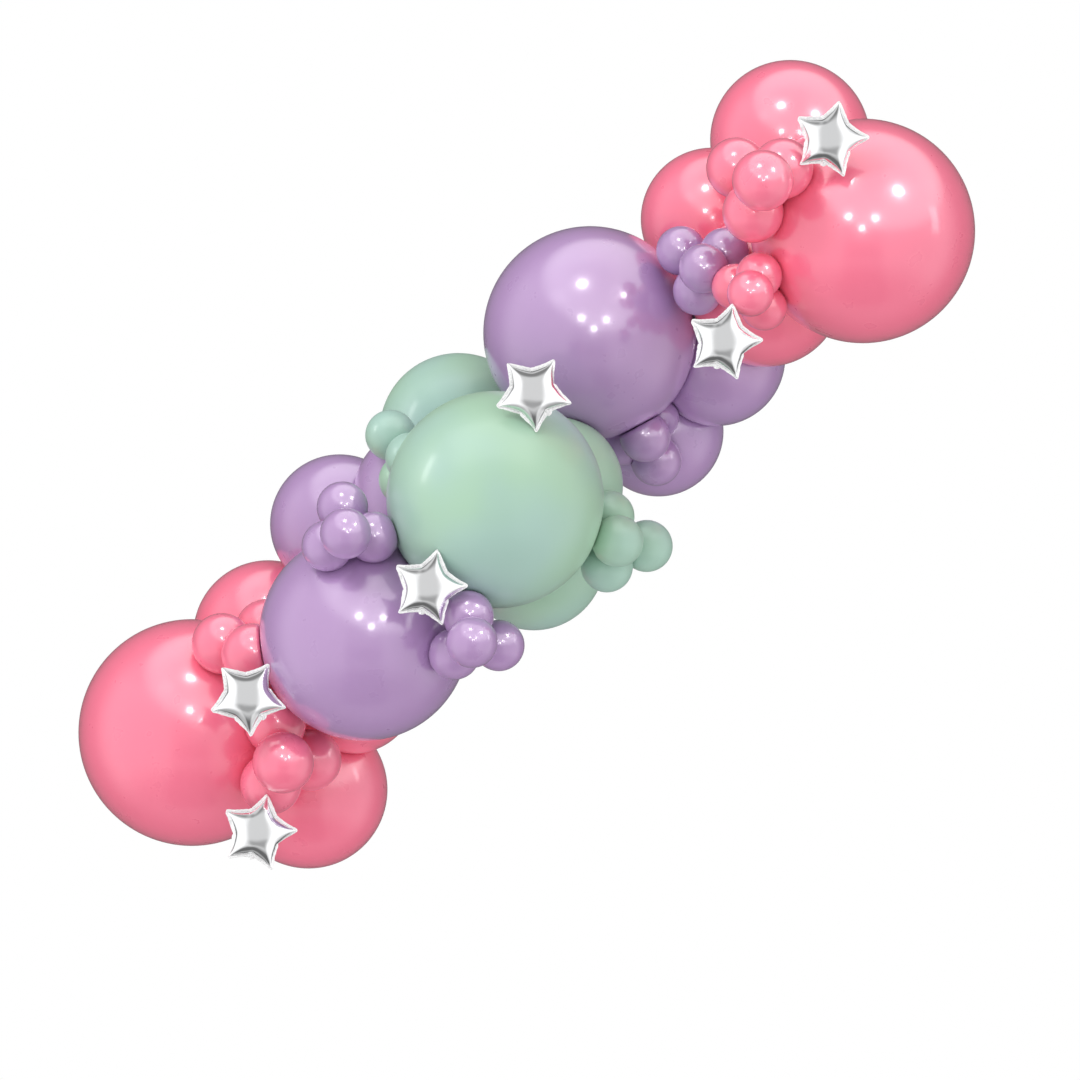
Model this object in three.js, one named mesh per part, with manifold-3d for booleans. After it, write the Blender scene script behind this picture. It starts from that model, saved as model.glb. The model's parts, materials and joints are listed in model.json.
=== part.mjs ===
// A wall-hung balloon garland: large, medium and small latex balloons in pink,
// lavender and mint, packed against each other, with six foil stars on the front.
// Millimetres, +Z up, +X to the right as seen from the front. The wall is the plane
// Y = 0 and the garland stands out from it towards -Y. The origin is the middle of the
// flat where the upper medium mint balloon is pressed on the wall.

import * as THREE from "three";
import { mergeVertices } from "three/addons/utils/BufferGeometryUtils.js";
import Module from "manifold-3d";

const wasm = await Module();
wasm.setup();

const finishes = {
  pink: { color: 0xff839b, roughness: 0.28, metalness: 0 },
  lavender: { color: 0xb293bf, roughness: 0.28, metalness: 0 },
  mint: { color: 0xb0d3c4, roughness: 0.32, metalness: 0 },
  foil: { color: 0xd9dadc, roughness: 0.16, metalness: 1 },
};

// How the balloons press on each other: shares of the two radii, or of one diameter
const contactGap = 0.3;
const wallPress = 0.09;
const bigPress = 0.2;
const smallPress = 0.18;
const sidePress = 0.26;
const outlineLost = 0.05;
const knotTouch = 0.06;

// Facets round a balloon and from its crown to its neck, and its neck and tied knot
const sizes = {
  large: { round: 16, rows: 9, neckStart: 22, waist: 5, knot: 9, neck: 26 },
  medium: { round: 13, rows: 7, neckStart: 22, waist: 4, knot: 7, neck: 19 },
  small: { round: 8, rows: 4, neckStart: 24, waist: 3, knot: 4.5, neck: 10 },
  joined: { round: 12, rows: 6, neckStart: 24, waist: 3, knot: 4.5, neck: 10 },
};
const waistAlong = 0.45;
const knotAlong = 0.75;

// A neck points to the wall, or where there is room for it within a cone about that way
const neckCone = 62;
const neckTries = 240;
const neckClearance = 1.5;
const leastNeck = 1;
const roomGain = 0.01;
const goldenTurn = Math.PI * (3 - Math.sqrt(5));
const mergeWithin = 1e-3;

// Large and medium balloons, in the order in which each is set against the ones before:
// diameter, and the place of its middle across and up from the origin. "over" lies in
// front of the balloons named, "under" behind them, and the others rest on the wall.
// "neck" is the way a neck points where a clear flat is kept on the wall.
const bigBalloons = [
  { name: "mint_upper_medium", size: "medium", tint: "mint", d: 294, x: 0, z: 0, neck: [0, -1, 0] },
  { name: "lavender_upper_medium_low", size: "medium", tint: "lavender", d: 242, x: 372, z: 1 },
  { name: "lavender_upper_medium_right", size: "medium", tint: "lavender", d: 256, x: 480, z: 139,
    over: ["lavender_upper_medium_low"] },
  { name: "lavender_upper_large", size: "large", tint: "lavender", d: 398, x: 245, z: 184,
    over: ["lavender_upper_medium_low", "lavender_upper_medium_right"] },
  { name: "pink_upper_medium_low", size: "medium", tint: "pink", d: 286, x: 572, z: 264,
    over: ["lavender_upper_medium_right"], press: 0.25 },
  { name: "pink_upper_large", size: "large", tint: "pink", d: 418, x: 752, z: 374,
    over: ["pink_upper_medium_low"] },
  { name: "pink_upper_medium_left", size: "medium", tint: "pink", d: 266, x: 472, z: 396 },
  { name: "pink_upper_medium_top", size: "medium", tint: "pink", d: 298, x: 617, z: 543,
    under: ["pink_upper_large"], press: 0.03 },
  { name: "mint_right_medium", size: "medium", tint: "mint", d: 260, x: 176, z: -99,
    over: ["lavender_upper_large"] },
  { name: "mint_large", size: "large", tint: "mint", d: 405, x: 68, z: -126,
    over: ["mint_right_medium"], press: 0.3 },
  { name: "mint_lower_medium", size: "medium", tint: "mint", d: 266, x: 140, z: -236,
    under: ["mint_right_medium"], press: 0.22 },
  { name: "lavender_lower_medium_right", size: "medium", tint: "lavender", d: 246, x: -72, z: -114,
    under: ["mint_large"], press: 0.01 },
  { name: "lavender_lower_large", size: "large", tint: "lavender", d: 391, x: -176, z: -379,
    under: ["mint_large"], press: 0.2 },
  { name: "lavender_lower_medium_upper", size: "medium", tint: "lavender", d: 259, x: -221, z: -171,
    under: ["lavender_lower_medium_right"], press: 0.2 },
  { name: "pink_lower_medium_upper", size: "medium", tint: "pink", d: 279, x: -354, z: -378 },
  { name: "pink_lower_medium_right", size: "medium", tint: "pink", d: 246, x: -198, z: -476,
    under: ["lavender_lower_large"], press: 0.04 },
  { name: "pink_lower_large", size: "large", tint: "pink", d: 422, x: -496, z: -559,
    over: ["pink_lower_medium_upper"], press: 0.275 },
  { name: "pink_lower_medium_low", size: "medium", tint: "pink", d: 294, x: -279, z: -665 },
];

// Small balloons, tied in knots of three or four: the ones behind, each across and up
// from the origin, then the one that lies over them. "on" names what they rest on.
const smallKnots = [
  {
    name: "pink_upper_small_a", tint: "pink", d: 115,
    behind: [[548, 409], [518, 491], [603, 490]], front: [566, 468],
    on: ["pink_upper_medium_top", "pink_upper_medium_left", "pink_upper_large"],
  },
  {
    name: "lavender_upper_small_b", tint: "lavender", d: 93,
    behind: [[414, 337], [445, 263], [495, 334]], front: [456, 304],
    on: ["pink_upper_medium_left", "pink_upper_medium_low"],
  },
  {
    name: "pink_upper_small_c", tint: "pink", d: 87,
    behind: [[514, 270], [559, 291], [568, 232]], front: [543, 258],
    on: ["pink_upper_medium_low", "pink_upper_large"],
  },
  {
    name: "lavender_upper_small_d", tint: "lavender", d: 95,
    behind: [[369, 22], [368, -53], [308, -15]], front: [347, -9],
    on: ["lavender_upper_medium_low"],
  },
  {
    name: "mint_small_e", tint: "mint", d: 95, press: 0.29,
    behind: [[-126, -6], [-101, -89]], front: [-89, -48],
    on: ["mint_upper_medium", "lavender_lower_medium_right"],
  },
  {
    name: "mint_small_f", tint: "mint", d: 97,
    behind: [[279, -157], [276, -250], [350, -212]], front: [296, -203],
    on: ["mint_right_medium", "mint_lower_medium"],
  },
  {
    name: "lavender_lower_small_g", tint: "lavender", d: 96,
    behind: [[-216, -140], [-159, -196], [-244, -212]], front: [-210, -189],
    on: ["lavender_lower_medium_upper", "lavender_lower_large"],
  },
  {
    name: "lavender_lower_small_h", tint: "lavender", d: 96,
    behind: [[18, -342], [75, -397], [-8, -413]], front: [25, -391],
    on: ["lavender_lower_large", "mint_large", "mint_lower_medium"],
  },
  {
    name: "pink_lower_small_i", tint: "pink", d: 115,
    behind: [[-439, -394], [-358, -368]], front: [-384, -413],
    on: ["pink_lower_medium_upper", "pink_lower_large"],
  },
  {
    name: "pink_lower_small_j", tint: "pink", d: 115,
    behind: [[-341, -543], [-349, -654], [-275, -610]], front: [-326, -615],
    on: ["pink_lower_large", "pink_lower_medium_low", "pink_lower_medium_right"],
  },
];

// Small balloons joined neck to neck, each two made as one piece
const joinedPairs = [
  ["mint_small_e_2", "mint_small_e_front"],
  ["pink_upper_small_c_2", "pink_upper_small_c_3"],
];

// Foil stars: the place of each middle across and up, and how far it is turned
const star = {
  tips: 5, tip: 74, valley: 47.5, pull: 2.2, pullAlong: 0.42, seam: 5.5, film: 0.6,
  bulge: 21, shoulder: 0.86, shoulderOut: 0.5, press: 0.5, gap: 2, samples: 12,
};
const starTab = { halfWidth: 7, length: 7, rise: 0.8, foot: 1.05, head: 0.85, valleyIndex: 3 };
const starTurnUpright = 4;
const starTurnTilted = 58.5;
const stars = [
  { name: "star_1", x: 691, z: 544, turn: starTurnUpright },
  { name: "star_2", x: 493, z: 167, turn: starTurnUpright },
  { name: "star_3", x: 139, z: 72, turn: starTurnTilted },
  { name: "star_4", x: -56, z: -290, turn: starTurnUpright },
  { name: "star_5", x: -392, z: -494, turn: starTurnTilted },
  { name: "star_6", x: -373, z: -745, turn: starTurnUpright },
];

const { degToRad } = THREE.MathUtils;

// Places: "out" is how far a balloon's middle stands out from the wall

function sideways(a, b) {
  return Math.hypot(a.x - b.x, a.z - b.z);
}

// How far the front one of two touching balloons stands out from the one behind it, so
// that they press on each other no harder than told and its round outline stays whole.
function stepInFront(front, back, press) {
  const side = sideways(front, back);
  const reach = front.r + back.r;
  const outlineSquared = back.r ** 2 - front.r ** 2 + 2 * side * front.r * (1 - outlineLost);
  const outline = Math.sqrt(Math.max(0, outlineSquared));
  const apart = Math.min(reach, Math.max(reach * (1 - press), outline));
  return Math.sqrt(Math.max(0, apart ** 2 - side ** 2));
}

function placeBigBalloons() {
  const placed = new Map();
  for (const row of bigBalloons) {
    const balloon = { ...row, r: row.d / 2 };
    const press = row.press ?? bigPress;
    const onWall = balloon.r * (1 - wallPress);
    const fronts = (row.over ?? []).map((name) => placed.get(name));
    const behinds = (row.under ?? []).map((name) => placed.get(name));
    const steps = fronts.map((other) => other.out + stepInFront(balloon, other, press));
    const backs = behinds.map((other) => other.out - stepInFront(other, balloon, press));
    balloon.out = Math.max(onWall, ...steps, ...(backs.length ? [Math.min(...backs)] : []));
    placed.set(balloon.name, balloon);
  }
  return placed;
}

// The balloons of a knot that lie behind rest on what carries them and each touches the
// ones that stand furthest out; the front one lies over them.
function placeKnot(knot, bigs) {
  const carriers = knot.on.map((name) => bigs.get(name));
  const r = knot.d / 2;
  const rest = (small) =>
    Math.max(0, ...carriers.map((big) => (sideways(small, big) < small.r + big.r
      ? big.out + stepInFront(small, big, smallPress) : 0)));
  const behind = knot.behind.map(([x, z], i) =>
    ({ name: `${knot.name}_${i + 1}`, size: "small", tint: knot.tint, x, z, r }));
  for (const small of behind) small.out = rest(small);
  behind.sort((a, b) => b.out - a.out);
  behind.forEach((small, i) => {
    const near = behind.slice(0, i);
    const within = (other, press) =>
      Math.sqrt(Math.max(0, (knot.d * (1 - press)) ** 2 - sideways(small, other) ** 2));
    const tied = near.map((other) => other.out - within(other, knotTouch));
    small.out = Math.max(small.out, near.length ? Math.min(...tied) : 0);
    for (const other of near) {
      const needed = within(other, sidePress);
      if (Math.abs(small.out - other.out) < needed) small.out = other.out - needed;
    }
  });
  const [x, z] = knot.front;
  const front = { name: `${knot.name}_front`, size: "small", tint: knot.tint, x, z, r };
  const press = knot.press ?? smallPress;
  const steps = behind.map((small) => small.out + stepInFront(front, small, press));
  front.out = Math.max(rest(front), ...steps);
  return [...behind, front];
}

const bigs = placeBigBalloons();
const balloons = [...bigs.values(), ...smallKnots.flatMap((knot) => placeKnot(knot, bigs))];
for (const balloon of balloons) balloon.middle = new THREE.Vector3(balloon.x, -balloon.out, balloon.z);

function arePaired(a, b) {
  return joinedPairs.some((pair) => pair.includes(a.name) && pair.includes(b.name));
}

// The flats that bound a balloon: one against each neighbour, and the wall
function flatsOf(balloon) {
  const flats = [{ normal: new THREE.Vector3(0, 1, 0), distance: balloon.out }];
  for (const other of balloons) {
    if (other === balloon) continue;
    const normal = other.middle.clone().sub(balloon.middle);
    const apart = normal.length();
    if (apart > balloon.r + other.r + sizes[balloon.size].neck * 2) continue;
    const toFlat = (apart ** 2 + balloon.r ** 2 - other.r ** 2) / (2 * apart);
    const gap = arePaired(balloon, other) ? -contactGap : contactGap;
    flats.push({ normal: normal.divideScalar(apart), distance: toFlat - gap / 2 });
  }
  return flats;
}

// The way a neck points: straight back if there is room, or else the nearest way that has
function neckWay(balloon, flats) {
  const wanted = sizes[balloon.size].neck + neckClearance;
  let best = { room: -Infinity };
  for (let i = 0; i < neckTries; i += 1) {
    const cosine = 1 - (i / neckTries) * (1 - Math.cos(degToRad(neckCone)));
    const sine = Math.sqrt(1 - cosine ** 2);
    const turn = i * goldenTurn;
    const way = balloon.neck
      ? new THREE.Vector3(...balloon.neck)
      : new THREE.Vector3(sine * Math.cos(turn), cosine, sine * Math.sin(turn));
    const rooms = flats.map(({ normal, distance }) =>
      (way.dot(normal) > 0 ? distance / way.dot(normal) - balloon.r : Infinity));
    const room = Math.min(wanted, ...rooms);
    if (room > best.room + roomGain) best = { room, way };
  }
  return best;
}

// Shapes

function placedGeometry(geometry) {
  geometry.deleteAttribute("normal");
  geometry.deleteAttribute("uv");
  const merged = mergeVertices(geometry, mergeWithin);
  const corners = Array.from(merged.index.array);
  const kept = [];
  for (let i = 0; i < corners.length; i += 3) {
    const [a, b, c] = corners.slice(i, i + 3);
    if (a !== b && b !== c && a !== c) kept.push(a, b, c);
  }
  merged.setIndex(kept);
  return merged;
}

// A round balloon with its neck and knot, flattened where it presses on its neighbours
function balloonGeometry(balloon) {
  const isJoined = joinedPairs.flat().includes(balloon.name);
  const { round, rows, neckStart, waist, knot, neck } = sizes[isJoined ? "joined" : balloon.size];
  const flats = flatsOf(balloon);
  const { way, room } = neckWay(balloon, flats);
  const length = Math.min(neck, Math.max(room - neckClearance, leastNeck));
  const profile = [];
  for (let i = 0; i <= rows; i += 1) {
    const angle = degToRad(180 - (i / rows) * (180 - neckStart));
    profile.push(new THREE.Vector2(balloon.r * Math.sin(angle), balloon.r * Math.cos(angle)));
  }
  profile[0].x = 0;
  if (balloon.size !== "small") {
    profile.push(new THREE.Vector2(waist, balloon.r + length * waistAlong));
  }
  profile.push(new THREE.Vector2(knot, balloon.r + length * knotAlong));
  profile.push(new THREE.Vector2(0, balloon.r + length));
  const geometry = placedGeometry(new THREE.LatheGeometry(profile, round));
  geometry.applyQuaternion(new THREE.Quaternion().setFromUnitVectors(new THREE.Vector3(0, 1, 0), way));
  const places = geometry.getAttribute("position");
  const place = new THREE.Vector3();
  for (let i = 0; i < places.count; i += 1) {
    place.fromBufferAttribute(places, i);
    const shares = flats.map(({ normal, distance }) => {
      const along = place.dot(normal);
      return along > distance ? distance / along : 1;
    });
    place.multiplyScalar(Math.min(...shares));
    places.setXYZ(i, place.x, place.y, place.z);
  }
  return geometry;
}

// The outline of a star, from tip to tip, with edges drawn in a little and the tab in
// one valley: a list of turns and distances from the middle.
function starOutline() {
  const points = [];
  const step = Math.PI / star.tips;
  for (let i = 0; i < star.tips; i += 1) {
    const tipTurn = 2 * i * step;
    const middleOut = (star.tip + star.valley) / 2;
    points.push([tipTurn, star.tip], [tipTurn + step * star.pullAlong, middleOut - star.pull]);
    if (i === starTab.valleyIndex) {
      const spread = Math.atan2(starTab.halfWidth, star.valley);
      const foot = spread * starTab.foot;
      const head = spread * starTab.head;
      points.push([tipTurn + step - foot, star.valley + starTab.rise]);
      points.push([tipTurn + step - head, star.valley + starTab.length]);
      points.push([tipTurn + step + head, star.valley + starTab.length]);
      points.push([tipTurn + step + foot, star.valley + starTab.rise]);
    } else {
      points.push([tipTurn + step, star.valley]);
    }
    points.push([tipTurn + step * (2 - star.pullAlong), middleOut - star.pull]);
  }
  return points;
}

// How far the balloons behind reach out from the wall at a place across and up
function reachBehind(x, z) {
  let reach = 0;
  for (const balloon of balloons) {
    const side = Math.hypot(x - balloon.x, z - balloon.z);
    const r = balloon.r + star.gap;
    if (side < r) reach = Math.max(reach, balloon.out + Math.sqrt(r ** 2 - side ** 2));
  }
  return reach;
}

// A pillow of two foils welded at the edge; its back is dented where it lies on balloons
function starGeometry({ x, z, turn }) {
  const outline = starOutline();
  const inset = (out) => 1 - star.seam / out;
  const rings = [
    (out) => ({ share: 1, height: star.film }),
    (out) => ({ share: inset(Math.min(out, star.valley)), height: star.film }),
    () => ({ share: star.shoulderOut, height: star.bulge * star.shoulder }),
  ];
  const at = (angle, out, share) => {
    const way = angle + degToRad(turn);
    return [x + out * share * Math.cos(way), z + out * share * Math.sin(way)];
  };
  let middleOut = 0;
  for (const [angle, out] of outline) {
    for (let i = 0; i <= star.samples; i += 1) {
      const share = i / star.samples;
      const back = star.bulge * Math.sqrt(Math.max(0, 1 - share ** 2)) * (1 - star.press);
      middleOut = Math.max(middleOut, reachBehind(...at(angle, out, share)) + back + star.film);
    }
  }
  const faceAt = (face, height, px, pz) =>
    (face < 0 ? -middleOut - height : Math.min(-middleOut + height, -reachBehind(px, pz)));
  const vertices = [];
  const faces = [];
  const count = outline.length;
  for (const face of [-1, 1]) {
    for (const ring of rings) {
      for (const [angle, out] of outline) {
        const { share, height } = ring(out);
        const [px, pz] = at(angle, out, share);
        vertices.push(px, faceAt(face, height, px, pz), pz);
      }
    }
    vertices.push(x, faceAt(face, star.bulge, x, z), z);
  }
  const perFace = rings.length * count + 1;
  const quad = (a, b, c, d) => faces.push(a, b, c, a, c, d);
  for (let i = 0; i < count; i += 1) {
    const next = (i + 1) % count;
    for (let k = 0; k < rings.length - 1; k += 1) {
      quad(k * count + i, k * count + next, (k + 1) * count + next, (k + 1) * count + i);
      const back = perFace + k * count;
      quad(back + i, back + count + i, back + count + next, back + next);
    }
    const inner = (rings.length - 1) * count;
    faces.push(inner + i, inner + next, perFace - 1);
    faces.push(perFace + inner + next, perFace + inner + i, 2 * perFace - 1);
    quad(i, perFace + i, perFace + next, next);
  }
  const geometry = new THREE.BufferGeometry();
  geometry.setAttribute("position", new THREE.Float32BufferAttribute(vertices, 3));
  geometry.setIndex(faces);
  return geometry;
}

// Solids and the scene graph

function solidOf(geometry, offset) {
  const moved = geometry.clone().translate(offset.x, offset.y, offset.z);
  return new wasm.Manifold(new wasm.Mesh({
    numProp: 3,
    vertProperties: new Float32Array(moved.getAttribute("position").array),
    triVerts: new Uint32Array(moved.index.array),
  }));
}

function joined(geometries, offsets) {
  const solids = geometries.map((geometry, i) => solidOf(geometry, offsets[i]));
  const solid = solids.reduce((a, b) => a.add(b));
  const { vertProperties, triVerts } = solid.getMesh();
  const geometry = new THREE.BufferGeometry();
  geometry.setAttribute("position", new THREE.Float32BufferAttribute(vertProperties, 3));
  geometry.setIndex(Array.from(triVerts));
  return geometry;
}

function addMesh(group, name, geometry, finish, middle) {
  const mesh = new THREE.Mesh(geometry, new THREE.MeshStandardMaterial(finishes[finish]));
  mesh.name = name;
  if (middle) mesh.position.copy(middle);
  group.add(mesh);
}

function buildGarland() {
  const group = new THREE.Group();
  group.name = "balloon_garland";
  const paired = joinedPairs.flat();
  for (const balloon of balloons) {
    balloon.geometry = balloonGeometry(balloon);
    if (!paired.includes(balloon.name)) {
      addMesh(group, balloon.name, balloon.geometry, balloon.tint, balloon.middle);
    }
  }
  for (const pair of joinedPairs) {
    const members = pair.map((name) => balloons.find((balloon) => balloon.name === name));
    const geometry = joined(members.map((m) => m.geometry), members.map((m) => m.middle));
    addMesh(group, `${pair[0]}_pair`, geometry, members[0].tint);
  }
  for (const row of stars) addMesh(group, row.name, starGeometry(row), "foil");
  return group;
}

export default buildGarland();
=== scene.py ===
import json
import math
import bpy
import numpy as np
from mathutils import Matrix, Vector
from mathutils.geometry import delaunay_2d_cdt

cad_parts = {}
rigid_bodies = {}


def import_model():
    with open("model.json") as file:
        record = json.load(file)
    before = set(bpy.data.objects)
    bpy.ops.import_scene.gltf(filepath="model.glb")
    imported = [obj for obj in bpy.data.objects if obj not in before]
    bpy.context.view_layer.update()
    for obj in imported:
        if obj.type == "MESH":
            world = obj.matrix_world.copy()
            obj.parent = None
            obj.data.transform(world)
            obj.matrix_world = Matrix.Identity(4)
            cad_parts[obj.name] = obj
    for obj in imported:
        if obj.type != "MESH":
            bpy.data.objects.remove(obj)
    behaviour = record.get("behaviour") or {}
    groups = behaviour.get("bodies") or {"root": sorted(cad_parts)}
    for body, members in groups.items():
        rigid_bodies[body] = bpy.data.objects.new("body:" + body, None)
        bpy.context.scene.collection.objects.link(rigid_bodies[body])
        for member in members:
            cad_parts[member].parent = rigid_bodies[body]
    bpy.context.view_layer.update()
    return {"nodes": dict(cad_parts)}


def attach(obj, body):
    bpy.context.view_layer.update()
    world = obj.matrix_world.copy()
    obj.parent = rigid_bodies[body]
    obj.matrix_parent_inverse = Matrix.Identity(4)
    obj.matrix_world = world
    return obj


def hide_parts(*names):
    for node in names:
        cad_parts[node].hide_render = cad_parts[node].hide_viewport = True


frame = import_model()
print("frame loaded:", len(frame["nodes"]), "nodes")


# Nodes: a wire is one socket, and arithmetic on wires adds Math nodes

class Wire:
    def __init__(self, board, socket):
        self.board, self.socket = board, socket

    def maths(self, operation, *values):
        return self.board.make("ShaderNodeMath", {"operation": operation}, dict(enumerate(values)))

    def __add__(self, other): return self.maths("ADD", self, other)
    def __radd__(self, other): return self.maths("ADD", other, self)
    def __sub__(self, other): return self.maths("SUBTRACT", self, other)
    def __rsub__(self, other): return self.maths("SUBTRACT", other, self)
    def __mul__(self, other): return self.maths("MULTIPLY", self, other)
    def __rmul__(self, other): return self.maths("MULTIPLY", other, self)
    def __truediv__(self, other): return self.maths("DIVIDE", self, other)
    def __rtruediv__(self, other): return self.maths("DIVIDE", other, self)

    def upTo(self, other): return self.maths("MINIMUM", self, other)
    def atLeast(self, other): return self.maths("MAXIMUM", self, other)
    def out(self, name): return Wire(self.board, self.socket.node.outputs[name])


class Board:
    def __init__(self, tree):
        self.tree = tree

    # any node: its settings, then its sockets by name or number; gives its first live output
    def make(self, kind, settings=None, values=None):
        node = self.tree.nodes.new(kind)
        for key, value in (settings or {}).items():
            if key == "bends":
                points = node.mapping.curves[0].points
                while len(points) < len(value):
                    points.new(0.5, 0.5)
                for point, place in zip(points, value):
                    point.location = place
                node.mapping.update()
            else:
                setattr(node, key, value)
        for key, value in (values or {}).items():
            socket = node.inputs[key] if isinstance(key, int) else next(
                s for s in node.inputs if s.name == key and s.enabled)
            if isinstance(value, Wire):
                self.tree.links.new(value.socket, socket)
            else:
                socket.default_value = value
        live = [s for s in node.outputs if s.enabled]
        return Wire(self, live[0]) if live else node


# Balloons as the solids give them: middle, radius, and the way and length of the neck

fitting = {"tries": 900, "within": 2e-5, "least": 0.03, "most": 0.25, "clear": 3e-4, "flattest": 1e-7,
           "seed": 11}


def cornersOf(node):
    mesh = frame["nodes"][node].data
    places = np.empty(len(mesh.vertices) * 3)
    mesh.vertices.foreach_get("co", places)
    return np.unique(np.round(places.reshape(-1, 3), 6), axis=0)


def roundestPart(places):
    rng = np.random.default_rng(fitting["seed"])
    best = (0, None, None)
    for _ in range(fitting["tries"]):
        four = places[rng.choice(len(places), 4, replace=False)]
        rows = 2 * (four[1:] - four[0])
        if abs(np.linalg.det(rows)) < fitting["flattest"]:  # four points in one plane
            continue
        middle = np.linalg.solve(rows, (four[1:] ** 2).sum(1) - (four[0] ** 2).sum())
        radius = np.linalg.norm(four[0] - middle)
        if not fitting["least"] < radius < fitting["most"]:
            continue
        near = np.abs(np.linalg.norm(places - middle, axis=1) - radius) < fitting["within"]
        if near.sum() > best[0]:
            best = (near.sum(), middle, radius)
    return best


def balloonsIn(node):
    places = cornersOf(node)
    found, left = [], places
    for _ in range(2 if node.endswith("_pair") else 1):
        _, middle, radius = roundestPart(left)
        found.append({"node": node, "middle": middle, "radius": radius})
        away = np.linalg.norm(left - middle, axis=1)
        left = left[away > radius + fitting["within"]]
    gaps = np.array([np.linalg.norm(places - b["middle"], axis=1) - b["radius"] for b in found])
    outside = gaps.min(0) > fitting["clear"]
    for i, balloon in enumerate(found):
        own = places[outside & (gaps.argmin(0) == i)] - balloon["middle"]
        reach = np.linalg.norm(own, axis=1)
        balloon["way"] = own[reach.argmax()] / reach.max()
        balloon["neck"] = reach.max() - balloon["radius"]
    return found


starNodes = sorted(name for name in frame["nodes"] if name.startswith("star_"))
balloonNodes = sorted(name for name in frame["nodes"] if name not in starNodes)
balloons = [balloon for node in balloonNodes for balloon in balloonsIn(node)]
print("balloons found:", len(balloons), "in", len(balloonNodes), "nodes")


# Where a balloon is pressed flat: the way to each neighbour or the wall, and how far

pressing = {"gap": 0.0004, "besideNeck": 0.05}


def contactsOf(balloon):
    contacts = [((0, 1, 0), -balloon["middle"][1])]
    for other in balloons:
        between = other["middle"] - balloon["middle"]
        apart = np.linalg.norm(between)
        if other is balloon or apart > balloon["radius"] + other["radius"] + pressing["besideNeck"]:
            continue
        toFlat = (apart ** 2 + balloon["radius"] ** 2 - other["radius"] ** 2) / (2 * apart)
        contacts.append((tuple(between / apart), toFlat - pressing["gap"] / 2))
    return contacts


# One latex balloon: a sphere from crown to neck, the neck's cone, knot and rolled lip

balloonLook = {
    "neckStart": 22,  # degrees from the neck's axis where the round ends
    "bodyShare": 0.8,  # share of the rings that go to the round
    "radiusBends": [(0, 1), (0.12, 0.70), (0.24, 0.42), (0.34, 0.20), (0.42, 0.07), (0.5, 0), (1, 0)],
    "heightBends": [(0, 0), (0.12, 0.21), (0.24, 0.39), (0.34, 0.52), (0.42, 0.60), (0.5, 0.66),
                    (0.6, 0.73), (0.7, 0.80), (0.8, 0.9), (0.9, 0.98), (0.96, 1), (1, 0.9)],
    "knotBends": [(0, 0), (0.44, 0), (0.54, 0.8), (0.62, 1), (0.7, 0.55), (0.76, 0.15), (0.84, 0.7),
                  (0.92, 1), (0.97, 0.7), (1, 0.2)],
    "rim": 0.05,  # how softly a flat turns into the round
    "leastReach": 0.2,  # share of a flat's distance, so that nothing is divided by zero behind the middle
    "thickFrom": 0.66, "thickRise": 6,  # where the latex gets thicker, and how fast
    "ringSteps": 28, "ringSides": 10, "ringReach": 0.72, "ringThick": 0.34,  # the knot's ring, in knots
    "ringAlong": 0.28, "ringTilt": (0.22, 0.1, 0),
    "sizes": [  # from this radius up: segments, rings, waist, knot
        (0.19, 120, 110, 0.005, 0.0095),
        (0.11, 96, 86, 0.004, 0.0072),
        (0.03, 52, 50, 0.003, 0.0048),
    ],
}


def inputsOf(tree, rows):
    for name, kind in rows:
        tree.interface.new_socket(name=name, in_out="INPUT", socket_type="NodeSocket" + kind)
    tree.interface.new_socket(name="Geometry", in_out="OUTPUT", socket_type="NodeSocketGeometry")
    return tree.nodes.new("NodeGroupInput")


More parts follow.
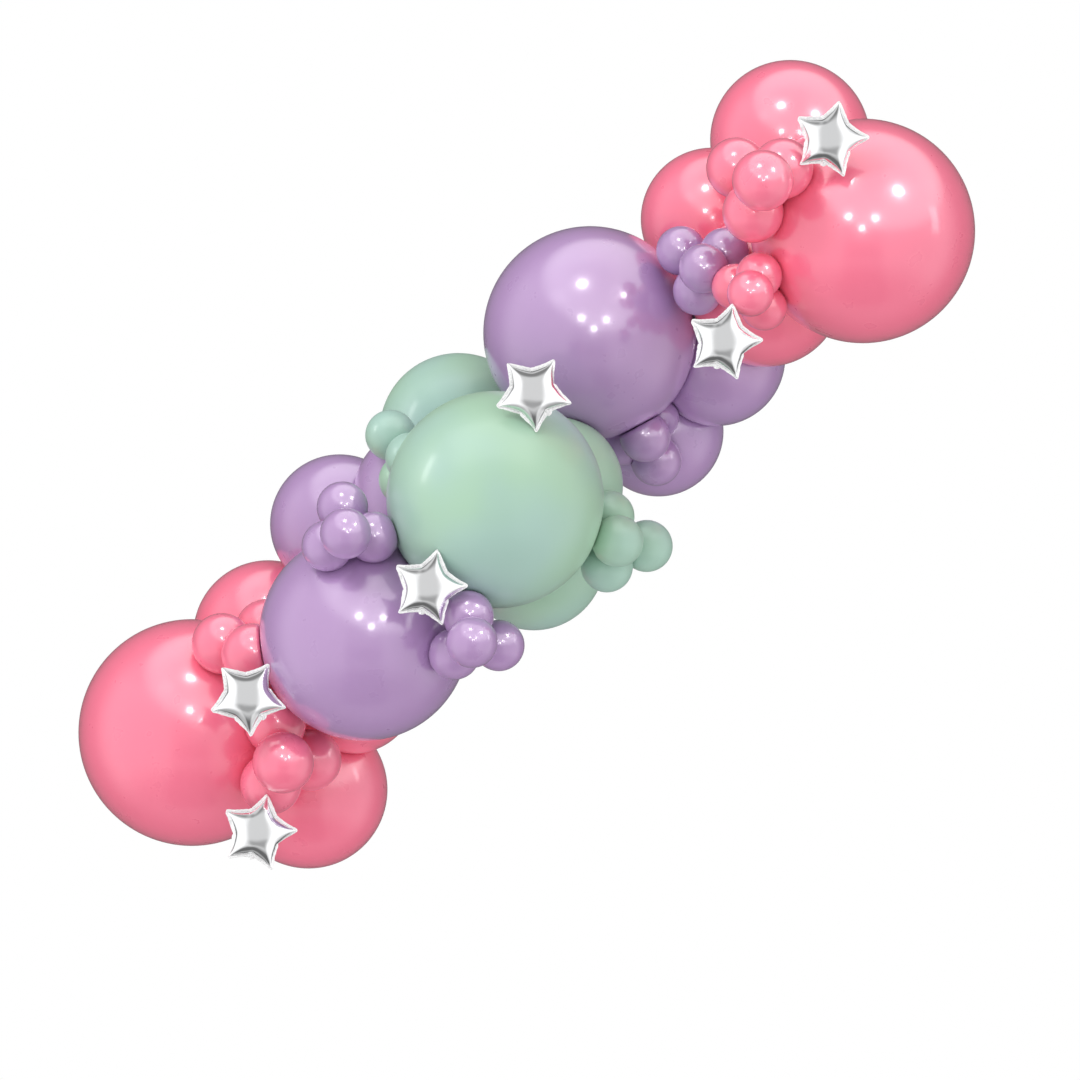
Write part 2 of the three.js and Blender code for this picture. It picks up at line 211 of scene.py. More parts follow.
def balloonTree():
    tree = bpy.data.node_groups.new("latexBalloon", "GeometryNodeTree")
    given = inputsOf(tree, [
        ("Contacts", "Geometry"), ("Radius", "Float"), ("Neck Length", "Float"), ("Knot", "Float"),
        ("Waist", "Float"), ("Rim", "Float"), ("Segments", "Int"), ("Rings", "Int"),
        ("Neck Way", "Vector"), ("Middle", "Vector"), ("Film", "Material")])
    board = Board(tree)
    make = board.make
    take = {socket.name: Wire(board, socket) for socket in given.outputs if socket.name}
    radius, knot, waist = take["Radius"], take["Knot"], take["Waist"]

    ball = make("GeometryNodeMeshUVSphere", None,
                {"Segments": take["Segments"], "Rings": take["Rings"], "Radius": 1.0})
    place = make("GeometryNodeInputPosition")
    split = make("ShaderNodeSeparateXYZ", None, {0: place})
    down = split.out("Z") * -1
    fromCrown = down.maths("ARCCOSINE", down) / math.pi  # 0 at the crown, 1 at the neck
    body = (fromCrown / balloonLook["bodyShare"]).upTo(1.0)
    along = ((fromCrown - balloonLook["bodyShare"]) / (1 - balloonLook["bodyShare"])).atLeast(0.0)
    neckStart = math.radians(balloonLook["neckStart"])
    angle = body * (math.pi - neckStart)
    bend = lambda name: make("ShaderNodeFloatCurve", {"bends": balloonLook[name]}, {"Value": along})
    shoulder = radius * math.sin(neckStart) - waist
    neckRadius = waist + shoulder * bend("radiusBends") + (knot - waist) * bend("knotBends")
    neckBase = radius * math.cos(neckStart)
    neckHeight = neckBase + (radius + take["Neck Length"] - neckBase) * bend("heightBends")
    inNeck = along.maths("GREATER_THAN", along, 0.0)
    across = radius * angle.maths("SINE", angle) * (1 - inNeck) + neckRadius * inNeck
    height = radius * angle.maths("COSINE", angle) * -1 * (1 - inNeck) + neckHeight * inNeck
    flat = make("ShaderNodeCombineXYZ", None, {0: split.out("X"), 1: split.out("Y")})
    outward = make("ShaderNodeVectorMath", {"operation": "NORMALIZE"}, {0: flat})
    sideways = make("ShaderNodeVectorMath", {"operation": "SCALE"}, {0: outward, "Scale": across})
    upward = make("ShaderNodeCombineXYZ", None, {2: height})
    shaped = make("ShaderNodeVectorMath", {"operation": "ADD"}, {0: sideways, 1: upward})
    thick = ((fromCrown - balloonLook["thickFrom"]) * balloonLook["thickRise"]).atLeast(0.0).upTo(1.0)
    ball = make("GeometryNodeStoreNamedAttribute", {"data_type": "FLOAT", "domain": "POINT"},
                {"Geometry": ball, "Name": "filmThickness", "Value": thick})
    ball = make("GeometryNodeSetPosition", None, {"Geometry": ball, "Position": shaped})

    ring = make("GeometryNodeCurvePrimitiveCircle", {"mode": "RADIUS"},
                {"Resolution": balloonLook["ringSteps"], "Radius": knot * balloonLook["ringReach"]})
    section = make("GeometryNodeCurvePrimitiveCircle", {"mode": "RADIUS"},
                   {"Resolution": balloonLook["ringSides"], "Radius": knot * balloonLook["ringThick"]})
    ring = make("GeometryNodeCurveToMesh", None, {"Curve": ring, "Profile Curve": section})
    ringUp = make("ShaderNodeCombineXYZ", None, {2: radius + take["Neck Length"] * balloonLook["ringAlong"]})
    ring = make("GeometryNodeTransform", None,
                {"Geometry": ring, "Translation": ringUp, "Rotation": balloonLook["ringTilt"]})
    ring = make("GeometryNodeStoreNamedAttribute", {"data_type": "FLOAT", "domain": "POINT"},
                {"Geometry": ring, "Name": "filmThickness", "Value": 1.0})
    both = tree.nodes.new("GeometryNodeJoinGeometry")
    for part in (ring, ball):
        tree.links.new(part.socket, both.inputs[0])
    turn = make("FunctionNodeAlignRotationToVector", {"axis": "Z"}, {"Vector": take["Neck Way"]})
    turned = make("GeometryNodeTransform", None, {0: Wire(board, both.outputs[0]), "Rotation": turn})

    count = make("GeometryNodeAttributeDomainSize", {"component": "MESH"}, {0: take["Contacts"]})
    opening = tree.nodes.new("GeometryNodeRepeatInput")
    closing = tree.nodes.new("GeometryNodeRepeatOutput")
    opening.pair_with_output(closing)
    tree.links.new(count.socket, opening.inputs["Iterations"])
    tree.links.new(turned.socket, opening.inputs["Geometry"])
    turnNumber = Wire(board, opening.outputs["Iteration"])

    def sampled(name, kind):
        value = make("GeometryNodeInputNamedAttribute", {"data_type": kind}, {"Name": name})
        return make("GeometryNodeSampleIndex", {"data_type": kind, "domain": "POINT"},
                    {"Geometry": take["Contacts"], "Value": value, "Index": turnNumber})

    way, toFlat = sampled("contactWay", "FLOAT_VECTOR"), sampled("contactAt", "FLOAT")
    reach = make("ShaderNodeVectorMath", {"operation": "DOT_PRODUCT"}, {0: place, 1: way})
    reach = Wire(board, reach.socket.node.outputs["Value"]).atLeast(toFlat * balloonLook["leastReach"])
    share = make("ShaderNodeMath", {"operation": "SMOOTH_MIN"}, {0: toFlat / reach, 1: 1.0, 2: take["Rim"]})
    pressed = make("ShaderNodeVectorMath", {"operation": "SCALE"}, {0: place, "Scale": share})
    pressed = make("GeometryNodeSetPosition", None,
                   {"Geometry": Wire(board, opening.outputs["Geometry"]), "Position": pressed})
    tree.links.new(pressed.socket, closing.inputs["Geometry"])

    hung = make("GeometryNodeTransform", None,
                {"Geometry": Wire(board, closing.outputs["Geometry"]), "Translation": take["Middle"]})
    smooth = make("GeometryNodeSetShadeSmooth", None, {"Geometry": hung})
    whole = make("GeometryNodeRealizeInstances", None, {"Geometry": smooth})
    done = make("GeometryNodeSetMaterial", None, {"Geometry": whole, "Material": take["Film"]})
    output = tree.nodes.new("NodeGroupOutput")
    tree.links.new(done.socket, output.inputs["Geometry"])
    return tree


# Materials

def newMaterial(name):
    material = bpy.data.materials.new(name)
    material.use_nodes = True
    material.node_tree.nodes.clear()
    return material, Board(material.node_tree)


def finishMaterial(board, values):
    shader = board.make("ShaderNodeBsdfPrincipled", None, values)
    board.make("ShaderNodeOutputMaterial", None, {"Surface": shader})


def colourMix(board, factor, a, b):
    return board.make("ShaderNodeMix", {"data_type": "RGBA"}, {"Factor": factor, "A": a, "B": b})


latexLooks = {
    "pink": {
        "film": (0.91, 0.176, 0.284, 1), "patch": (0.91, 0.192, 0.300, 1), "thick": (0.80, 0.075, 0.15, 1),
        "patchesAndPaintedReflection": 0.4, "rough": 0.28, "gloss": 0.5, "coat": 0.95},
    "lavender": {
        "film": (0.420, 0.256, 0.495, 1), "patch": (0.440, 0.276, 0.525, 1), "thick": (0.25, 0.12, 0.34, 1),
        "patchesAndPaintedReflection": 0.4, "rough": 0.28, "gloss": 0.5, "coat": 0.95},
    # mint: the drift between its film and patch colours is painted reflection, green and blue mottling from
    # the surroundings
    "mint": {
        "film": (0.362, 0.548, 0.478, 1), "patch": (0.368, 0.572, 0.412, 1), "thick": (0.22, 0.40, 0.34, 1),
        "patchesAndPaintedReflection": 1.0, "rough": 0.36, "gloss": 0.45, "coat": 0.30},
}
latexSkin = {
    "driftScale": 5.5, "driftFrom": 0.32, "driftTo": 0.68,  # slow drift of the colour: painted reflection on the mint, a faint tone change on pink and lavender
    "powderScale": 24, "powderRough": 0.04, "powderCoat": 0.2,  # talc left on the film
    "thickShare": 0.75, "thickRough": 0.08, "thickCoat": 0.3,  # near the neck
    "coatRough": 0.12, "bend": 1.5,
}


def latexMaterial(name, look):
    material, board = newMaterial(name)
    make = board.make
    where = make("ShaderNodeTexCoord").out("Object")
    drift = make("ShaderNodeTexNoise", None,
                 {"Vector": where, "Scale": latexSkin["driftScale"], "Detail": 1.5, "Roughness": 0.4})
    patch = make("ShaderNodeMapRange", {"interpolation_type": "SMOOTHSTEP"},
                 {"Value": drift, "From Min": latexSkin["driftFrom"], "From Max": latexSkin["driftTo"]})
    # on the mint this colour drift is painted reflection; on pink and lavender it is a faint tone change
    colour = colourMix(board, patch * look["patchesAndPaintedReflection"], look["film"], look["patch"])
    thickness = make("ShaderNodeAttribute", {"attribute_name": "filmThickness"}).out("Fac")
    colour = colourMix(board, thickness * latexSkin["thickShare"], colour, look["thick"])
    powder = make("ShaderNodeTexNoise", None,
                  {"Vector": where, "Scale": latexSkin["powderScale"], "Detail": 3, "Roughness": 0.5})
    powder = powder - 0.5
    rough = look["rough"] + powder * latexSkin["powderRough"] + thickness * latexSkin["thickRough"]
    coat = look["coat"] * (1 - powder * latexSkin["powderCoat"] - thickness * latexSkin["thickCoat"])
    finishMaterial(board, {
        "Base Color": colour, "Roughness": rough, "Specular IOR Level": look["gloss"],
        "Coat Weight": coat, "Coat Roughness": latexSkin["coatRough"],
        "Coat IOR": latexSkin["bend"], "IOR": latexSkin["bend"]})
    return material


foilLook = {
    "body": (0.86, 0.865, 0.875, 1), "seam": (0.95, 0.95, 0.952, 1), "rough": 0.11, "seamRough": 0.30,
    "seamDull": 0.7,  # how much of the metal's mirror the weld loses
    "hazeScale": 38, "hazeRough": 0.06, "crushScale": 210, "crushTop": 0.25,
    "rippleScale": 90, "rippleShare": 0.25, "bump": 0.35, "bumpDeep": 0.0006,
}


def foilMaterial():
    material, board = newMaterial("silverFoil")
    make = board.make
    where = make("ShaderNodeTexCoord").out("Object")
    seam = make("ShaderNodeAttribute", {"attribute_name": "seamShare"}).out("Fac")
    haze = make("ShaderNodeTexNoise", None,
                {"Vector": where, "Scale": foilLook["hazeScale"], "Detail": 4, "Roughness": 0.55})
    crush = make("ShaderNodeTexVoronoi", {"feature": "DISTANCE_TO_EDGE"},
                 {"Vector": where, "Scale": foilLook["crushScale"], "Randomness": 1.0})
    ripple = make("ShaderNodeTexNoise", None,
                  {"Vector": where, "Scale": foilLook["rippleScale"], "Detail": 2})
    colour = colourMix(board, seam, foilLook["body"], foilLook["seam"])
    seamRougher = foilLook["seamRough"] - foilLook["rough"]
    rough = foilLook["rough"] + (haze - 0.5) * foilLook["hazeRough"] + seam * seamRougher
    height = ripple * foilLook["rippleShare"] + crush.upTo(foilLook["crushTop"]) * seam
    skin = make("ShaderNodeBump", None,
                {"Strength": foilLook["bump"], "Distance": foilLook["bumpDeep"], "Height": height})
    finishMaterial(board, {"Base Color": colour, "Metallic": 1.0 - seam * foilLook["seamDull"],
                           "Roughness": rough, "IOR": 1.5, "Normal": skin})
    return material


films = {tint: latexMaterial(tint + "Latex", look) for tint, look in latexLooks.items()}
foil = foilMaterial()
print("materials made")


# Balloons built, one piece for each node

def contactHolder(balloon):
    contacts = contactsOf(balloon)
    mesh = bpy.data.meshes.new("contacts")
    mesh.from_pydata([(0, 0, i * 0.001) for i in range(len(contacts))], [], [])
    way = mesh.attributes.new("contactWay", "FLOAT_VECTOR", "POINT")
    way.data.foreach_set("vector", np.array([c[0] for c in contacts], dtype=np.float32).ravel())
    at = mesh.attributes.new("contactAt", "FLOAT", "POINT")
    at.data.foreach_set("value", np.array([c[1] for c in contacts], dtype=np.float32))
    holder = bpy.data.objects.new("holder", mesh)
    bpy.context.scene.collection.objects.link(holder)
    return holder


def tintOf(node):
    return node.split("_")[0]


def blow(balloon, tree):
    _, segments, rings, waist, knot = next(
        row for row in balloonLook["sizes"] if balloon["radius"] > row[0])
    holder = contactHolder(balloon)
    modifier = holder.modifiers.new("blow", "NODES")
    modifier.node_group = tree
    values = {
        "Radius": balloon["radius"], "Neck Length": balloon["neck"], "Knot": knot, "Waist": waist,
        "Rim": balloonLook["rim"], "Segments": segments, "Rings": rings,
        "Neck Way": tuple(balloon["way"]), "Middle": tuple(balloon["middle"]),
        "Film": films[tintOf(balloon["node"])]}
    sockets = {s.name: s.identifier for s in tree.interface.items_tree if s.in_out == "INPUT"}
    for name, value in values.items():
        modifier[sockets[name]] = value
    return holder


def pieceOf(name, meshes):
    piece = bpy.data.objects.new(name, meshes[0])
    bpy.context.scene.collection.objects.link(piece)
    if len(meshes) > 1:
        others = [bpy.data.objects.new(name, mesh) for mesh in meshes[1:]]
        for other in others:
            bpy.context.scene.collection.objects.link(other)
        with bpy.context.temp_override(active_object=piece, selected_editable_objects=[piece, *others]):
            bpy.ops.object.join()
    return piece


def buildBalloons():
    tree = balloonTree()
    holders = [(balloon, blow(balloon, tree)) for balloon in balloons]
    graph = bpy.context.evaluated_depsgraph_get()
    made = {}
    for balloon, holder in holders:
        mesh = bpy.data.meshes.new_from_object(
            holder.evaluated_get(graph), preserve_all_data_layers=True, depsgraph=graph)
        made.setdefault(balloon["node"], []).append(mesh)
    for _, holder in holders:
        bpy.data.objects.remove(holder)
    for node, meshes in made.items():
        piece = pieceOf(node + "_film", meshes)
        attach(piece, "root")
        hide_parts(node)
        tintOf(node) + "_latex"


buildBalloons()
print("balloons built")


# Foil stars: two flat films welded at the edge, blown up as cloth once and used for all six

starLook = {
    "edge": (0.074, 0.0575, 0.0010),  # tip and valley from the middle, and how far a side is drawn in
    "seam": (0.0688, 0.0512, 0.0008), "film": 0.0004,
    "halfDepth": 0.0205, "reach": 0.0735, "startDepth": 0.01,
    "grain": 0.0021, "jitter": 0.06, "apart": 0.55,  # spacing of the mesh, and two shares of it
    "ragged": 0.00022, "crimps": 0.00035, "crimpWidth": 0.005, "seed": 5,
    "tabTurn": 252, "tabHalf": 0.0078, "tabLength": 0.0055, "tabFoot": 0.0015, "tabRound": 0.0035,
    "tabSteps": 9, "pleats": 7, "pleatDeep": 0.0005, "pleatRise": 0.004,
    "softTurns": 10,  # how often the blown film is smoothed
    "creaseShare": 0.6, "creaseWidth": 0.007,  # the drawn film beside the weld is duller
    "clear": 0.0008,  # room left between the film and a balloon it lies on
    "weldBehind": 0.021, "solidTab": (0.053, 0.057),  # in the solid: depth of its weld, reach of its tab
}
starCloth = {
    "times": 10,  # the cloth is blown up at ten times its size, where its solver is steady
    "frames": 46, "quality": 7, "mass": 0.25, "tension": 20, "shear": 20, "bending": 0.35,
    "pressure": 30.0, "airDrag": 2.0, "damping": 12,
}


def unitWay(degrees):
    return np.array([math.cos(math.radians(degrees)), math.sin(math.radians(degrees))])


def starLine(tip, valley, pull):
    corners = [(valley if i % 2 else tip) * unitWay(36 * i) for i in range(10)]
    line = []
    for start, end in zip(corners, corners[1:] + corners[:1]):
        count = max(2, round(np.linalg.norm(end - start) / starLook["grain"]))
        inward = -(start + end) / np.linalg.norm(start + end) * pull
        for share in np.arange(count) / count:
            line.append(start + (end - start) * share + inward * math.sin(math.pi * share))
    return np.array(line)


def withTab(line):
    out, side = unitWay(starLook["tabTurn"]), unitWay(starLook["tabTurn"] + 90)
    valley, half = starLook["edge"][1], starLook["tabHalf"]
    end = valley + starLook["tabLength"]
    near = (np.abs(line @ side) < half) & (line @ out > 0)
    before = int((~near[:int(np.flatnonzero(near)[0])]).sum())
    rising = np.linspace(valley + starLook["tabFoot"], end - starLook["tabRound"], 2)
    rows = [out * r - side * half for r in rising]
    rows += [out * (end - 0.0032 * (across / half) ** 4) + side * across * 0.96
             for across in np.linspace(-half, half, starLook["tabSteps"])]
    rows += [out * r + side * half for r in rising[::-1]]
    kept = line[~near]
    return np.vstack([kept[:before], rows, kept[before:]])


def isInside(points, line):
    ax, ay = line[:, 0], line[:, 1]
    bx, by = np.roll(ax, -1), np.roll(ay, -1)
    px, py = points[:, 0, None], points[:, 1, None]
    crosses = ((ay > py) != (by > py)) & (px < (bx - ax) * (py - ay) / (by - ay + 1e-15) + ax)
    return crosses.sum(1) % 2 == 1


def awayFrom(points, line):
    along = np.roll(line, -1, axis=0) - line
    share = ((points[:, None] - line) * along).sum(2) / (along ** 2).sum(1)
    nearest = line + np.clip(share, 0, 1)[..., None] * along
    return np.linalg.norm(points[:, None] - nearest, axis=2).min(1)


# the flat cut: points, triangles, which of them are film, and the weld's inner line
def starPattern():
    look, rng = starLook, np.random.default_rng(starLook["seed"])
    grain = look["grain"]
    seam = starLine(*look["seam"])
    edge = withTab(starLine(*look["edge"]))
    edge = edge + rng.normal(0, look["ragged"], edge.shape)
    steps = np.arange(-look["reach"], look["reach"], grain) * 1.1
    grid = np.array([(x + (j % 2) * grain / 2, y * 0.866)  # every other row is shifted by half a step
                     for j, y in enumerate(steps * 1.16) for x in steps])
    grid = grid + rng.normal(0, grain * look["jitter"], grid.shape)
    grid = grid[isInside(grid, edge)]
    grid = grid[np.minimum(awayFrom(grid, edge), awayFrom(grid, seam)) > grain * look["apart"]]
    points = np.vstack([edge, seam, grid])
    loops = [(start + i, start + (i + 1) % count) for start, count in ((0, len(edge)), (len(edge), len(seam)))
             for i in range(count)]
    flat, _, faces, *_ = delaunay_2d_cdt([Vector(point) for point in points], loops, [], 1, 1e-7)
    flat, faces = np.array([tuple(point) for point in flat]), np.array([list(face) for face in faces])
    first, second, third = flat[faces[:, 0]], flat[faces[:, 1]], flat[faces[:, 2]]
    isTurned = np.cross(second - first, third - first) < 0
    faces[isTurned] = faces[isTurned][:, ::-1]
    return flat, faces, isInside((first + second + third) / 3, seam), seam


def blownCloth(places, faces, held, loose):
    mesh = bpy.data.meshes.new("starCloth")
    mesh.from_pydata(places.tolist(), [], faces.tolist())
    cloth = bpy.data.objects.new("starCloth", mesh)
    bpy.context.scene.collection.objects.link(cloth)
    group = cloth.vertex_groups.new(name="film")
    group.add(loose.tolist(), 1.0, "REPLACE")
    group.add(held.tolist(), 0.5, "REPLACE")
    modifier = cloth.modifiers.new("cloth", "CLOTH")
    rules = modifier.settings
    rules.quality, rules.mass = starCloth["quality"], starCloth["mass"]
    rules.tension_stiffness = rules.compression_stiffness = starCloth["tension"]
    rules.shear_stiffness, rules.bending_stiffness = starCloth["shear"], starCloth["bending"]
    rules.tension_damping = rules.compression_damping = rules.shear_damping = starCloth["damping"]
    rules.air_damping = starCloth["airDrag"]
    rules.use_pressure, rules.uniform_pressure_force = True, starCloth["pressure"]
    rules.vertex_group_pressure = "film"
    rules.effector_weights.gravity = 0
    modifier.collision_settings.use_collision = False
    modifier.point_cache.frame_start, modifier.point_cache.frame_end = 1, starCloth["frames"]
    for moment in range(1, starCloth["frames"] + 1):
        bpy.context.scene.frame_set(moment)
    blown = cloth.evaluated_get(bpy.context.evaluated_depsgraph_get()).data
    places = np.empty(len(blown.vertices) * 3)
    blown.vertices.foreach_get("co", places)
    bpy.data.objects.remove(cloth)
    bpy.context.scene.frame_set(1)
    return places.reshape(-1, 3)


def softened(places, faces, loose):
    ends = np.vstack([faces[:, [0, 1]], faces[:, [1, 2]], faces[:, [2, 0]]])
    for _ in range(starLook["softTurns"]):
        sums, counts = np.zeros_like(places), np.zeros(len(places))
        for start, end in (ends.T, ends.T[::-1]):
            np.add.at(sums, start, places[end])
            np.add.at(counts, start, 1)
        places[loose] += 0.5 * (sums[loose] / counts[loose][:, None] - places[loose])
    return places


def normalsOf(places, faces):
    first, second, third = places[faces[:, 0]], places[faces[:, 1]], places[faces[:, 2]]
    sums = np.zeros_like(places)
    for k in range(3):
        np.add.at(sums, faces[:, k], np.cross(second - first, third - first))
    return sums / (np.linalg.norm(sums, axis=1)[:, None] + 1e-12)


def starMesh():
    look, times = starLook, starCloth["times"]
    rng = np.random.default_rng(look["seed"] + 1)
    flat, faces, isFilm, seam = starPattern()
    weld = np.unique(faces[~isFilm])
    inner = np.setdiff1d(np.arange(len(flat)), weld)
    backOf = np.arange(len(flat))
    backOf[inner] = len(flat) + np.arange(len(inner))
    rise = np.sqrt(awayFrom(flat[inner], seam) / awayFrom(flat[inner], seam).max())
    rise = rise * look["startDepth"] * times
    places = np.column_stack([np.vstack([flat, flat[inner]]) * times, np.zeros(len(flat) + len(inner))])
    places[inner, 2], places[backOf[inner], 2] = rise, -rise
    closed = np.vstack([faces, backOf[faces[isFilm]][:, ::-1]])
    held = np.intersect1d(weld, faces[isFilm])
    places = blownCloth(places, closed, held, np.concatenate([inner, backOf[inner]]))

    places = softened(places / times, closed, np.concatenate([inner, backOf[inner]]))
    places -= [*places[:len(flat), :2].mean(0), places[weld, 2].mean()]
    turns = np.degrees(np.arctan2(flat[:, 1], flat[:, 0]))
    reach = np.linalg.norm(places[:len(flat), :2], axis=1)
    tips = [reach[np.abs((turns - tip + 180) % 360 - 180) < 3].max() for tip in range(0, 360, 72)]
    places[:, :2] *= look["reach"] / np.mean(tips)
    places[:, 2] *= look["halfDepth"] / np.percentile(places[:, 2], 99.8)

    outward = normalsOf(places[:len(flat)], faces[~isFilm])[weld]
    fromSeam = np.clip(awayFrom(flat[weld], seam) / look["crimpWidth"], 0, 1)
    across, along = flat[weld] @ unitWay(look["tabTurn"] + 90), flat[weld] @ unitWay(look["tabTurn"])
    onTab = np.clip((along - look["edge"][1]) / look["pleatRise"] + 1, 0, 1)
    onTab = onTab * (np.abs(across) < look["tabHalf"] * 1.05)
    pleat = look["pleatDeep"] * np.sin(across / look["tabHalf"] * math.pi * look["pleats"] / 2)
    places[weld] += outward * (rng.normal(0, look["crimps"], len(weld)) * fromSeam + onTab * pleat)[:, None]

    copyOf = backOf.copy()  # the back film of the weld lies close behind the front one
    copyOf[weld] = len(places) + np.arange(len(weld))
    places = np.vstack([places, places[weld] - outward * look["film"] * 2])
    sides = faces[~isFilm]
    sides = {(int(a), int(b)) for pair in ([0, 1], [1, 2], [2, 0]) for a, b in sides[:, pair]}
    onFilm = set(np.unique(faces[isFilm]).tolist())
    rim = [(a, b) for a, b in sides if (b, a) not in sides and not (a in onFilm and b in onFilm)]
    bridge = [[b, a, int(copyOf[a]), int(copyOf[b])] for a, b in sorted(rim)]
    mesh = bpy.data.meshes.new("foilStar")
    mesh.from_pydata(places.tolist(), [], faces.tolist() + copyOf[faces][:, ::-1].tolist() + bridge)
    share = np.zeros(len(places), dtype=np.float32)
    share[weld] = share[copyOf[weld]] = np.clip(fromSeam * 2.5, look["creaseShare"], 1)
    share[inner] = share[copyOf[inner]] = look["creaseShare"] * np.clip(
        1 - awayFrom(flat[inner], seam) / look["creaseWidth"], 0, 1)
    mesh.attributes.new("seamShare", "FLOAT", "POINT").data.foreach_set("value", share)
    mesh.materials.append(foil)
    mesh.polygons.foreach_set("use_smooth", [True] * len(mesh.polygons))
    return finerMesh(mesh)


def finerMesh(mesh):
    holder = bpy.data.objects.new("holder", mesh)
    bpy.context.scene.collection.objects.link(holder)
    modifier = holder.modifiers.new("finer", "SUBSURF")
    modifier.levels = modifier.render_levels = 1
    graph = bpy.context.evaluated_depsgraph_get()
    finer = bpy.data.meshes.new_from_object(
        holder.evaluated_get(graph), preserve_all_data_layers=True, depsgraph=graph)
    bpy.data.objects.remove(holder)
    return finer


def buildStars():
    pattern = starMesh()
    local = np.empty(len(pattern.vertices) * 3)
    pattern.vertices.foreach_get("co", local)
    local = local.reshape(-1, 3)
    for node in starNodes:
        corners = cornersOf(node)
        nose = corners[corners[:, 1].argmin()]
        fromNose = corners[:, [0, 2]] - nose[[0, 2]]
        reach = np.linalg.norm(fromNose, axis=1)
        nearest, furthest = starLook["solidTab"]
        tab = fromNose[(reach > nearest) & (reach < furthest)].mean(0)
        turn = math.atan2(tab[1], tab[0]) - math.radians(starLook["tabTurn"])
        places = np.column_stack([
            nose[0] + local[:, 0] * math.cos(turn) - local[:, 1] * math.sin(turn),
            nose[1] + starLook["weldBehind"] - local[:, 2],
            nose[2] + local[:, 0] * math.sin(turn) + local[:, 1] * math.cos(turn)])
        for balloon in balloons:  # the back gives way where it lies on a balloon
            radius = balloon["radius"] + starLook["clear"]
            middle = balloon["middle"]
            inSquared = radius ** 2 - (places[:, 0] - middle[0]) ** 2 - (places[:, 2] - middle[2]) ** 2
            front = middle[1] - np.sqrt(np.maximum(inSquared, 0))
            places[:, 1] = np.where(inSquared > 0, np.minimum(places[:, 1], front), places[:, 1])
        mesh = pattern.copy()
        mesh.vertices.foreach_set("co", places.ravel())
        mesh.update()
        piece = pieceOf(node + "_foil", [mesh])
        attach(piece, "root")
        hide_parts(node)


buildStars()
print("stars built")


# Light, floor and camera

cameraLook = {"width": 2.0088, "middle": (0.1516, -0.2009), "away": 6.0}
studio = {
    "aimedAt": (0.13, -0.4, -0.06),
    "backdrop": 1.0,
    "fill": (0.99, 1.09),  # soft light all round, from below to above
    "mirror": {  # what glossy films see: white with a grey band ahead, and grey below and above
        "white": 1.25, "behind": 0.14, "band": 0.50, "patch": 0.34, "low": 0.80, "high": 0.50,
        "least": 0.15, "bandSides": (0.22, 0.44), "patchUp": -0.34, "patchTall": (0.05, 0.2),
        "patchSides": (0.2, 0.45), "lowFrom": (-0.85, -0.45), "highFrom": (0.55, 0.8)},
    "floorDrop": 1.5, "floorSize": 40,
    "key": ((-0.50, -0.58, 0.64), 6.0, 0.55, 20),
}
lampRows = [  # way from the garland, distance, half size, radiance, soft edge, what it gleams on
    ((-0.11, -0.55, 0.83), 6.0, (0.62, 0.62), 46, 0.95, "shiny"),
    ((0.59, -0.52, 0.62), 6.0, (0.62, 0.62), 44, 0.95, "shiny"),
    ((-0.14, -0.94, 0.315), 6.0, (0.46, 0.46), 38, 0.95, "shiny"),
    ((0.31, -0.91, 0.28), 6.0, (0.44, 0.44), 36, 0.95, "shiny"),
    ((0.09, -0.99, 0.12), 6.0, (0.42, 0.42), 36, 0.95, "shiny"),
    ((0.958, -0.186, 0.219), 5.0, (0.42, 1.0), 4, 0.9, "shiny"),
    ((0.26, -0.42, 0.87), 8.0, (15.5, 15.5), 2.0, 0.45, "shiny"),
    ((-0.90, -0.125, 0.405), 6.0, (0.55, 1.5), 9, 0.8, "satin"),
    ((0.0, -0.42, 0.91), 6.0, (6.5, 3.6), 1.8, 0.6, "satin"),
]
shinyOn = {"shiny": ("pink", "lavender"), "satin": ("mint",)}


def addLight(name, way, away, half, radiance):
    light = bpy.data.lights.new(name, "AREA")
    light.shape, light.size, light.size_y = "RECTANGLE", half[0] * 2, half[1] * 2
    light.energy = radiance * half[0] * half[1] * 4 * math.pi
    lamp = bpy.data.objects.new(name, light)
    bpy.context.scene.collection.objects.link(lamp)
    lamp.location = Vector(studio["aimedAt"]) + Vector(way).normalized() * away
    lamp.rotation_euler = Vector(way).to_track_quat("Z", "Y").to_euler()
    lamp.visible_camera = False
    return lamp


def soften(light, edge, isRound):  # the light fades out toward its edge
    light.use_nodes = True
    light.node_tree.nodes.clear()
    board = Board(light.node_tree)
    make = board.make
    spot = make("ShaderNodeNewGeometry").out("Parametric")
    spot = make("ShaderNodeSeparateXYZ", None, {0: spot})
    across, along = (spot.out("X") - 0.5) * 2, (spot.out("Y") - 0.5) * 2
    across, along = across * across, along * along
    far = across + along if isRound else across.atLeast(along)
    glow = make("ShaderNodeMapRange", {"interpolation_type": "SMOOTHSTEP"},
                {"Value": far, "From Min": (1 - edge) ** 2, "From Max": 1.0, "To Min": 1.0, "To Max": 0.0})
    shine = make("ShaderNodeEmission", None, {"Color": (1, 1, 1, 1), "Strength": glow})
    make("ShaderNodeOutputLight", None, {"Surface": shine})


def lightStudio():
    takers = {}
    for group, tints in shinyOn.items():
        takers[group] = bpy.data.collections.new(group)
        for piece in bpy.context.scene.objects:
            if piece.name.endswith("_film") and tintOf(piece.name) in tints:
                takers[group].objects.link(piece)
    for i, (way, away, half, radiance, edge, group) in enumerate(lampRows):
        lamp = addLight(f"gleam{i + 1}", way, away, half, radiance)
        lamp.visible_diffuse = False
        lamp.light_linking.receiver_collection = takers[group]
        soften(lamp.data, edge, half[0] == half[1])
    way, away, half, radiance = studio["key"]
    key = addLight("key", way, away, (half, half), radiance)
    key.visible_glossy = False


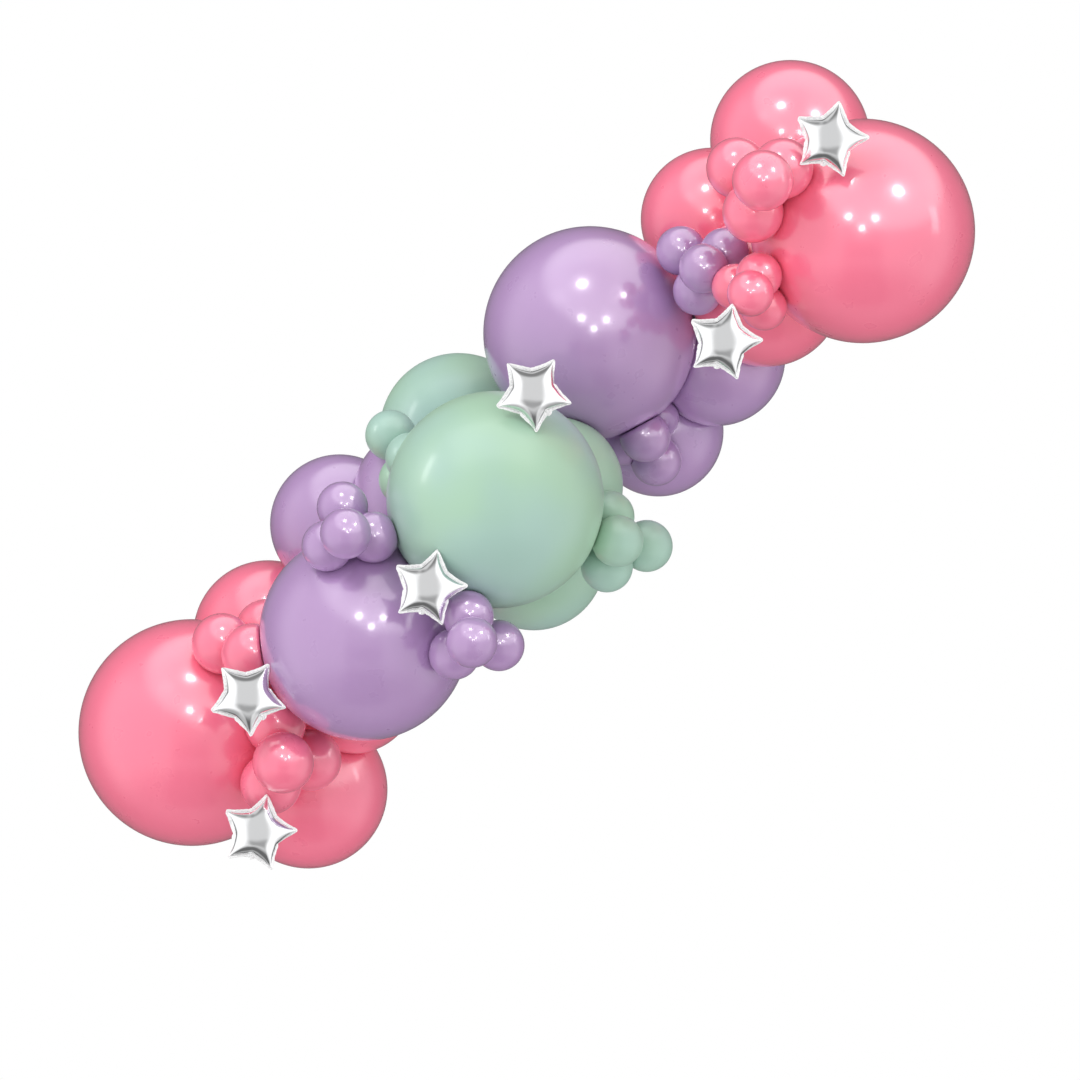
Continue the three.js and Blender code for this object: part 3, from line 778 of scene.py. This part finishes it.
def buildWorld():
    world = bpy.data.worlds.new("studio")
    bpy.context.scene.world = world
    world.use_nodes = True
    world.node_tree.nodes.clear()
    board = Board(world.node_tree)
    make = board.make

    def ramp(value, low, high, start=0.0, end=1.0):
        return make("ShaderNodeMapRange", {"interpolation_type": "SMOOTHSTEP"},
                    {"Value": value, "From Min": low, "From Max": high, "To Min": start, "To Max": end})

    way = make("ShaderNodeSeparateXYZ", None, {0: make("ShaderNodeTexCoord").out("Generated")})
    side, front, up = way.out("X"), way.out("Y") * -1, way.out("Z")
    fill = ramp(up, -0.5, 0.6, *studio["fill"])
    look = studio["mirror"]
    aside = side.maths("ABSOLUTE", side)
    lift = up - look["patchUp"]
    lift = lift.maths("ABSOLUTE", lift)
    band = ramp(aside, *look["bandSides"], 1.0, 0.0) * ramp(front, 0.0, 0.3)
    patch = ramp(lift, *look["patchTall"], 1.0, 0.0) * ramp(aside, *look["patchSides"], 1.0, 0.0)
    below, above = ramp(up, *look["lowFrom"], 1.0, 0.0), ramp(up, *look["highFrom"])
    mirror = look["white"] - band * look["band"] - patch * look["patch"]
    mirror = mirror - below * look["low"] - above * look["high"]
    behind = ramp(front, -0.55, 0.05, 1.0, 0.0)
    mirror = mirror.atLeast(look["least"]) * (1 - behind) + behind * look["behind"]

    path = make("ShaderNodeLightPath")
    seen, spread = path.out("Is Camera Ray"), path.out("Is Diffuse Ray")
    strength = fill * spread + mirror * (1 - spread)
    strength = strength * (1 - seen) + seen * studio["backdrop"]
    glow = make("ShaderNodeBackground", None, {"Color": (1, 1, 1, 1), "Strength": strength})
    make("ShaderNodeOutputWorld", None, {"Surface": glow})


def buildStage():
    half = studio["floorSize"] / 2
    mesh = bpy.data.meshes.new("floor")
    drop = -studio["floorDrop"]
    mesh.from_pydata([(-half, -half, drop), (half, -half, drop), (half, half, drop), (-half, half, drop)],
                     [], [(0, 1, 2, 3)])
    floor = bpy.data.objects.new("floor", mesh)
    bpy.context.scene.collection.objects.link(floor)
    material, board = newMaterial("paleFloor")
    finishMaterial(board, {"Base Color": (0.86, 0.86, 0.86, 1), "Roughness": 0.9})
    mesh.materials.append(material)
    floor.visible_glossy = False


def buildCamera():
    camera = bpy.data.cameras.new("camera")
    camera.type = "ORTHO"
    camera.ortho_scale = cameraLook["width"]
    camera.clip_end = 60
    eye = bpy.data.objects.new("camera", camera)
    bpy.context.scene.collection.objects.link(eye)
    x, z = cameraLook["middle"]
    eye.location = (x, -cameraLook["away"], z)
    eye.rotation_euler = (math.pi / 2, 0, 0)
    bpy.context.scene.camera = eye


buildWorld()
buildStage()
buildCamera()
lightStudio()
bpy.context.scene.view_settings.view_transform = "Standard"
print("stage lit")
